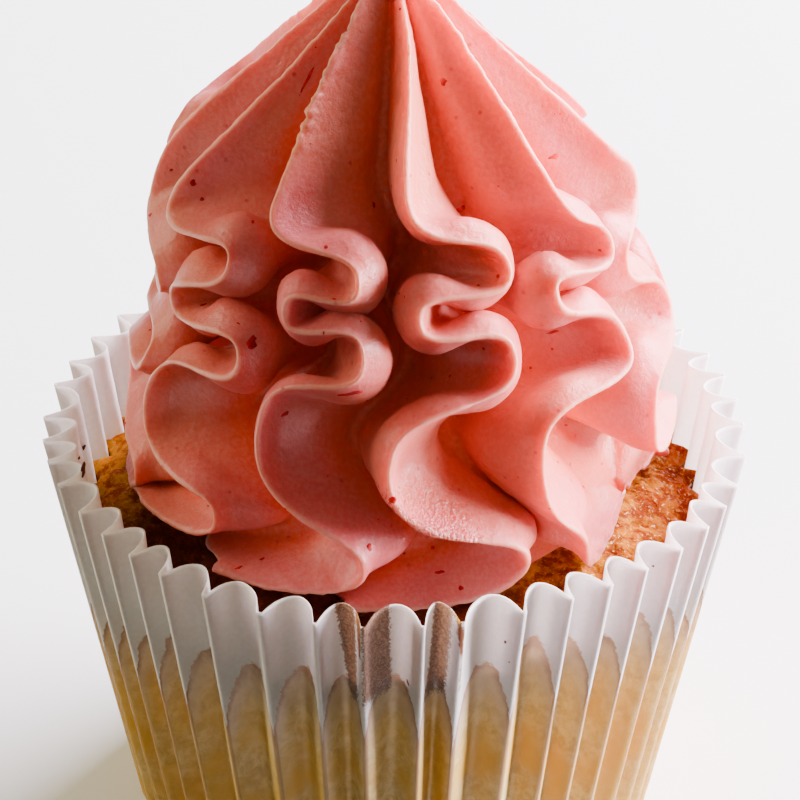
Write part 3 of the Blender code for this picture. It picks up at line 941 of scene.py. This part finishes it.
def frosting_look(settings):
    look, tree, shader, place = new_look("Fruit Buttercream")
    depth = stored(tree, "depth")
    colour = mix_colour(remap(noise(place, 16.0), 0.35, 0.65), settings.pink, settings.salmon)
    # Painted shade: the colour turns deeper and redder low between the folds
    colour = mix_colour(remap(depth, 0.6, 0.1, 0.0, 0.75), colour, settings.pocket_shade)
    # Painted highlight: a pale line along the crests, where they catch the light
    colour = mix_colour(remap(depth, 0.965, 1.0, 0.0, 0.38), colour, settings.crest)
    # Fine seeds and juice spots
    cells = {"Vector": place, "Scale": 0.55, "Randomness": 1.0}
    middle = add_node(tree, "ShaderNodeTexVoronoi", cells, "Distance")
    chosen = maths(tree, "GREATER_THAN", add_node(tree, "ShaderNodeTexVoronoi", cells, "Color"), 0.62)
    spot = remap(middle, 0.05, 0.17, 1.0, 0.0) * chosen
    colour = mix_colour(spot * 0.75, colour, SPOT_COLOUR)
    grain = noise(place, 0.45, 3.0, 0.6)
    colour = mix_colour(remap(grain, 0.35, 0.7, 0.0, 0.12), colour, GRAIN_COLOUR)
    # Sandy gloss on the lap right of the front
    patch = remap(vector_maths("DISTANCE", place, SANDY_PLACE, "Value"), 2.5, 6.5, 1.0, 0.0)
    set_inputs(shader, {
        "Base Color": colour, "Subsurface Weight": 0.7, "Subsurface Radius": (1.0, 0.55, 0.45),
        "Subsurface Scale": 0.0022, "Specular IOR Level": 0.3,
        "Roughness": patch * -0.12 + remap(grain, 0.3, 0.7, 0.28, 0.42)})
    height = noise(place, 1.6, 3.0, 0.55) + grain * 0.5
    set_bump(shader, patch * noise(place, 0.3, 1.0) * 3.0 + height, 0.16)
    return look


class FrostingSettings(bpy.types.PropertyGroup):
    ripple_height: length_property("Ripple Height", "Height of the soft ripples in metres", 0.0005)
    grain_height: length_property("Grain Height", "Height of the fine grain in metres", 0.00012)
    torn_depth: length_property("Torn Depth", "Depth of the torn edges in metres", 0.0011)
    pink: colour_property("Pink", "Main colour of the frosting", (0.74, 0.140, 0.155))
    salmon: colour_property("Salmon", "Warmer patches of the frosting", (0.72, 0.165, 0.110))
    # Painted shade low between the folds
    pocket_shade: colour_property("Pocket", "Colour deep between the folds", (0.85, 0.12, 0.05))
    # Painted highlight along the crests
    crest: colour_property("Crest", "Pale line along the crests", (0.95, 0.44, 0.28))


class CUPCAKE_OT_frosting(bpy.types.Operator):
    """Make the piped swirl of folded frosting"""
    bl_idname = "cupcake.frosting"
    bl_label = "Make Frosting"

    def execute(self, context):
        settings = context.scene.cupcake_frosting
        values = {
            "Ripple Height": settings.ripple_height / MM, "Ripple Size": 5.0,
            "Grain Height": settings.grain_height / MM, "Grain Size": 1.1,
            "Torn Depth": settings.torn_depth / MM, "Torn Size": 0.9,
            "Frosting": frosting_look(settings)}
        piece = run_group(frosting_grid(), frosting_group(), values, "frosting_swirl")
        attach(piece, "root")
        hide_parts("frosting")
        return {"FINISHED"}


# Fruit flecks

# Flecks that show: place across and down in the picture, length and width in millimetres, slant
SEEN_FLECKS = (
    (306, 82, 3.6, 0.35, 63), (443, 82, 1.0, 0.8, 80), (553, 157, 1.3, 0.5, 10), (595, 104, 0.8, 0.5, 0),
    (193, 183, 0.9, 0.7, 90), (202, 199, 0.6, 0.5, 0), (252, 342, 1.5, 1.0, 75), (350, 394, 2.6, 0.7, 25),
    (203, 305, 0.9, 0.5, 0), (285, 414, 1.3, 0.7, 35), (461, 209, 1.4, 0.7, 5), (374, 205, 0.8, 0.5, 90),
    (369, 547, 1.0, 0.8, 70), (238, 568, 1.0, 0.4, 20), (262, 559, 0.7, 0.4, 0), (553, 332, 1.6, 0.4, 15),
    (498, 276, 0.6, 0.6, 0), (461, 588, 0.7, 0.6, 0), (150, 215, 0.6, 0.5, 0), (440, 572, 1.2, 0.4, 5),
    (392, 500, 0.9, 0.7, 40), (570, 466, 0.9, 0.3, 60), (150, 330, 0.5, 0.3, 0), (600, 250, 0.5, 0.3, 0))

# Crumbs stuck to the paper, given the same way
SEEN_CRUMBS = (
    (505, 642, 0.5, 0.35, 60), (509, 662, 0.35, 0.2, 20), (653, 566, 0.4, 0.3, 0), (84, 470, 1.7, 0.8, 80),
    (84, 447, 0.8, 0.6, 40), (408, 683, 1.2, 0.35, 85), (79, 458, 0.5, 0.4, 0))


THICKEST_FLECK = 0.35
# Share of its thickness by which a fleck is sunk
FLECK_SINK = 0.3
FLECK_SEED = 8
CRUMB_DARK = (0.03, 0.01, 0.005)


def camera_axes():
    tilt = math.radians(CAMERA_ELEVATION)
    roll = math.radians(CAMERA_ROLL)
    back = Vector((0.0, -math.cos(tilt), math.sin(tilt)))
    right = Vector((1.0, 0.0, 0.0))
    up = right.cross(-back)
    across = right * math.cos(roll) + up * math.sin(roll)
    upward = up * math.cos(roll) - right * math.sin(roll)
    place = (Vector(CAMERA_TARGET) + back * CAMERA_DISTANCE) * MM
    return place, across, upward, back


def picture_ray(across_px, down_px):
    place, across, upward, back = camera_axes()
    half = PICTURE_SIDE / 2.0
    direction = -back + across * ((across_px - half) / CAMERA_FOCAL)
    direction -= upward * ((down_px - half) / CAMERA_FOCAL)
    return place, direction.normalized()


def fleck_shape(length, width, thick, random):
    """A small irregular shard, long in X and flat in Z."""
    made = bmesh.new()
    bmesh.ops.create_icosphere(made, subdivisions=2, radius=0.5)
    bend = random.normal(0.0, 0.12)
    for vertex in made.verts:
        place = vertex.co
        wobble = 1.0 + 0.35 * math.sin(11.0 * place.x + 6.0 * place.y + 20.0 * bend)
        vertex.co = Vector((place.x * length, (place.y * wobble + bend * place.x ** 2 * 4.0) * width,
                            place.z * thick))
    points = np.array([vertex.co[:] for vertex in made.verts])
    faces = np.array([[vertex.index for vertex in face.verts] for face in made.faces])
    made.free()
    return points, faces


def seen_flecks(piece, places):
    """Shards laid on a piece where the picture shows them."""
    surface = BVHTree.FromPolygons([vertex.co.copy() for vertex in piece.data.vertices],
                                   [polygon.vertices[:] for polygon in piece.data.polygons])
    random = np.random.default_rng(FLECK_SEED)
    camera_across, camera_up = camera_axes()[1:3]
    all_points = []
    all_faces = []
    total = 0
    for across_px, down_px, length, width, slant in places:
        place, normal = surface.ray_cast(*picture_ray(across_px, down_px))[:2]
        if place is None:
            continue
        angle = math.radians(slant)
        wanted = camera_across * math.cos(angle) + camera_up * math.sin(angle)
        first = (wanted - normal * wanted.dot(normal)).normalized()
        turn = Matrix((first, normal.cross(first), normal)).transposed()
        thick = min(THICKEST_FLECK, width * 0.6)
        points, faces = fleck_shape(length, width, thick, random)
        placed = np.array([(turn @ Vector(point))[:] for point in points])
        placed += np.array(place[:]) / MM - np.array(normal[:]) * thick * FLECK_SINK
        all_points.append(placed)
        all_faces.append(faces + total)
        total += len(points)
    return np.concatenate(all_points), np.concatenate(all_faces)


def fleck_group():
    """Scatters small shards over the frosting."""
    tree, value = new_group("Scattered Flecks", ("Spacing", "Smallest", "Largest", "Seed"), "Fruit")
    spread = tree.nodes.new("GeometryNodeDistributePointsOnFaces")
    spread.distribute_method = "RANDOM"
    set_inputs(spread, {"Mesh": value["Geometry"], "Density": value["Spacing"], "Seed": value["Seed"]})
    shard = add_node(tree, "GeometryNodeMeshIcoSphere", {"Radius": 0.5 * MM, "Subdivisions": 1}, "Mesh")

    def chance(low, high, seed):
        values = {2: low, 3: high, "Seed": seed}
        return add_node(tree, "FunctionNodeRandomValue", values, 1, data_type="FLOAT")

    size = chance(value["Smallest"], value["Largest"], 3)
    scale = {0: size, 1: size * chance(0.3, 0.9, 5), 2: size * 0.3}
    twist = add_node(tree, "ShaderNodeCombineXYZ", {2: chance(0.0, 6.283, 7)})
    turn = {"Rotation": Value(tree, spread.outputs["Rotation"]), "Rotate By": twist}
    shards = add_node(tree, "GeometryNodeInstanceOnPoints", {
        "Points": Value(tree, spread.outputs["Points"]), "Instance": shard,
        "Rotation": add_node(tree, "FunctionNodeRotateRotation", turn, rotation_space="LOCAL"),
        "Scale": add_node(tree, "ShaderNodeCombineXYZ", scale)})
    return finish_group(shards, value["Fruit"])


def fruit_look(settings):
    look, tree, shader, place = new_look("Red Fruit")
    set_inputs(shader, {
        "Base Color": mix_colour(remap(noise(place, 1.4), 0.38, 0.6), settings.bright, settings.dark),
        "Roughness": 0.5, "Specular IOR Level": 0.15, "Subsurface Weight": 0.3,
        "Subsurface Radius": (1.0, 0.2, 0.15), "Subsurface Scale": 0.0006})
    set_bump(shader, noise(place, 0.3), 0.05)
    return look


def crumb_look(settings):
    look, tree, shader, place = new_look("Baked Crumbs")
    cloud = remap(noise(place, 0.6, 2.0, 0.6), 0.35, 0.65)
    set_inputs(shader, {"Base Color": mix_colour(cloud, settings.crumb, CRUMB_DARK), "Roughness": 0.6})
    set_bump(shader, noise(place, 0.25, 2.0, 0.6), 0.08)
    return look


class FleckSettings(bpy.types.PropertyGroup):
    density: FloatProperty(
        name="Density", description="Scattered flecks on a square metre", default=16000.0)
    seed: IntProperty(name="Seed", description="Which scatter is used", default=5)
    bright: colour_property("Bright Red", "Juicy flecks", (0.78, 0.002, 0.008))
    crumb: colour_property("Crumb", "Dark crumbs stuck to the paper", (0.12, 0.03, 0.01))
    dark: colour_property("Dark Red", "Skins and seeds", (0.34, 0.004, 0.012))


class CUPCAKE_OT_flecks(bpy.types.Operator):
    """Scatter flecks of fruit over the frosting"""
    bl_idname = "cupcake.flecks"
    bl_label = "Scatter Fruit Flecks"

    def execute(self, context):
        settings = context.scene.cupcake_flecks
        frosting = bpy.data.objects["frosting_swirl"]
        look = fruit_look(settings)
        points, faces = seen_flecks(frosting, SEEN_FLECKS)
        seen = add_object("fruit_flecks", make_mesh("fruit_flecks", points, [faces]))
        give_material(seen, look)
        points, faces = seen_flecks(bpy.data.objects["pleated_case"], SEEN_CRUMBS)
        crumbs = add_object("paper_crumbs", make_mesh("paper_crumbs", points, [faces]))
        give_material(crumbs, crumb_look(settings))
        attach(crumbs, "root")
        values = {"Spacing": settings.density, "Smallest": 0.15, "Largest": 0.55, "Seed": settings.seed,
                  "Fruit": look}
        small = run_group(frosting.data.copy(), fleck_group(), values, "small_flecks")
        for piece in (seen, small):
            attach(piece, "root")
        return {"FINISHED"}


# Stage

FLOOR_HALF = 1.5
LIGHT_TARGET = (0.0, 0.0, 0.045)
# Name, place and size in metres, and colour of each light
LIGHTS = (
    ("window", (0.43, 0.33, 0.35), (0.60, 0.45), (1.0, 0.83, 0.96)),
    ("side", (0.62, -0.02, 0.10), (0.25, 0.16), (1.0, 0.84, 0.92)),
    ("fill", (-0.66, 0.12, 0.26), (0.4, 0.4), (1.0, 0.84, 0.60)))
WORLD_COLOUR = (1.0, 0.85, 0.63, 1.0)


class StageSettings(bpy.types.PropertyGroup):
    floor_colour: colour_property("Floor Colour", "Plain pale floor", (0.84, 0.93, 0.92))
    key_power: power_property("Key Power", "Power of the window light", 44.0)
    side_power: power_property("Side Power", "Power of the low light from the right", 19.0)
    fill_power: power_property("Fill Power", "Power of the soft light from the left", 4.6)
    sky: FloatProperty(
        name="Sky", description="Strength of the even light from all round", default=0.37)


def add_area(name, place, side, colour, power):
    light = bpy.data.lights.new(name, "AREA")
    light.shape = "RECTANGLE"
    light.size, light.size_y = side
    light.energy = power
    light.color = colour
    made = add_object(name, light)
    made.location = place
    made.rotation_euler = (Vector(LIGHT_TARGET) - Vector(place)).to_track_quat("-Z", "Y").to_euler()


class CUPCAKE_OT_stage(bpy.types.Operator):
    """Make the pale floor, the soft lights and the camera"""
    bl_idname = "cupcake.stage"
    bl_label = "Make Stage"

    def execute(self, context):
        settings = context.scene.cupcake_stage
        corners = [(-1.0, -1.0, 0.0), (1.0, -1.0, 0.0), (1.0, 1.0, 0.0), (-1.0, 1.0, 0.0)]
        mesh = bpy.data.meshes.new("pale_floor")
        mesh.from_pydata([Vector(corner) * FLOOR_HALF for corner in corners], [], [(0, 1, 2, 3)])
        floor = add_object("pale_floor", mesh)
        look = bpy.data.materials.new("Pale Floor")
        look.use_nodes = True
        shader = look.node_tree.nodes["Principled BSDF"]
        set_inputs(shader, {"Base Color": (*settings.floor_colour, 1.0), "Roughness": 0.7})
        give_material(floor, look)
        # The floor takes light and shadow but sends none back, so the shaded side stays deep
        floor.visible_diffuse = False
        powers = (settings.key_power, settings.side_power, settings.fill_power)
        for light, power in zip(LIGHTS, powers):
            add_area(*light, power)
        world = bpy.data.worlds.new("soft_room")
        world.use_nodes = True
        tree = world.node_tree
        # The light from under the horizon and from the front is weaker
        split = split_vector(add_node(tree, "ShaderNodeTexCoord", output="Generated"))
        even = remap(split[2], -0.3, 0.15, 0.3, 1.0) * remap(split[1], -0.9, 0.2, 0.75, 1.0)
        set_inputs(tree.nodes["Background"], {"Color": WORLD_COLOUR, "Strength": even * settings.sky})
        context.scene.world = world
        place, across, upward, backward = camera_axes()
        lens = bpy.data.cameras.new("photo_camera")
        lens.sensor_width = SENSOR
        lens.lens = CAMERA_FOCAL * SENSOR / PICTURE_SIDE
        lens.clip_start = 0.01
        camera = add_object("photo_camera", lens)
        turn = Matrix((across, upward, backward)).transposed().to_4x4()
        camera.matrix_world = Matrix.Translation(place) @ turn
        context.scene.camera = camera
        return {"FINISHED"}


# Panel and run

class CUPCAKE_PT_panel(bpy.types.Panel):
    """Steps that build the cupcake"""
    bl_idname = "CUPCAKE_PT_panel"
    bl_label = "Cupcake"
    bl_space_type = "VIEW_3D"
    bl_region_type = "UI"
    bl_category = "Cupcake"

    def draw(self, context):
        for key, group in SETTINGS:
            box = self.layout.box()
            settings = getattr(context.scene, key)
            for name in group.__annotations__:
                box.prop(settings, name)
            # An operator is named like its settings, with a dot in place of the underscore
            box.operator(key.replace("_", "."))


SETTINGS = (
    ("cupcake_case", CaseSettings), ("cupcake_cake", CakeSettings),
    ("cupcake_frosting", FrostingSettings), ("cupcake_flecks", FleckSettings),
    ("cupcake_stage", StageSettings))
CLASSES = (
    CUPCAKE_OT_case, CUPCAKE_OT_cake, CUPCAKE_OT_frosting, CUPCAKE_OT_flecks, CUPCAKE_OT_stage,
    CUPCAKE_PT_panel)


def register():
    for key, group in SETTINGS:
        bpy.utils.register_class(group)
        setattr(bpy.types.Scene, key, PointerProperty(type=group))
    for item in CLASSES:
        bpy.utils.register_class(item)


def unregister():
    for item in reversed(CLASSES):
        bpy.utils.unregister_class(item)
    for key, group in reversed(SETTINGS):
        delattr(bpy.types.Scene, key)
        bpy.utils.unregister_class(group)


def main():
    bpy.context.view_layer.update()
    register()
    bpy.ops.cupcake.stage()
    bpy.ops.cupcake.case()
    bpy.ops.cupcake.cake()
    bpy.ops.cupcake.frosting()
    bpy.ops.cupcake.flecks()


if __name__ == "__main__":
    main()
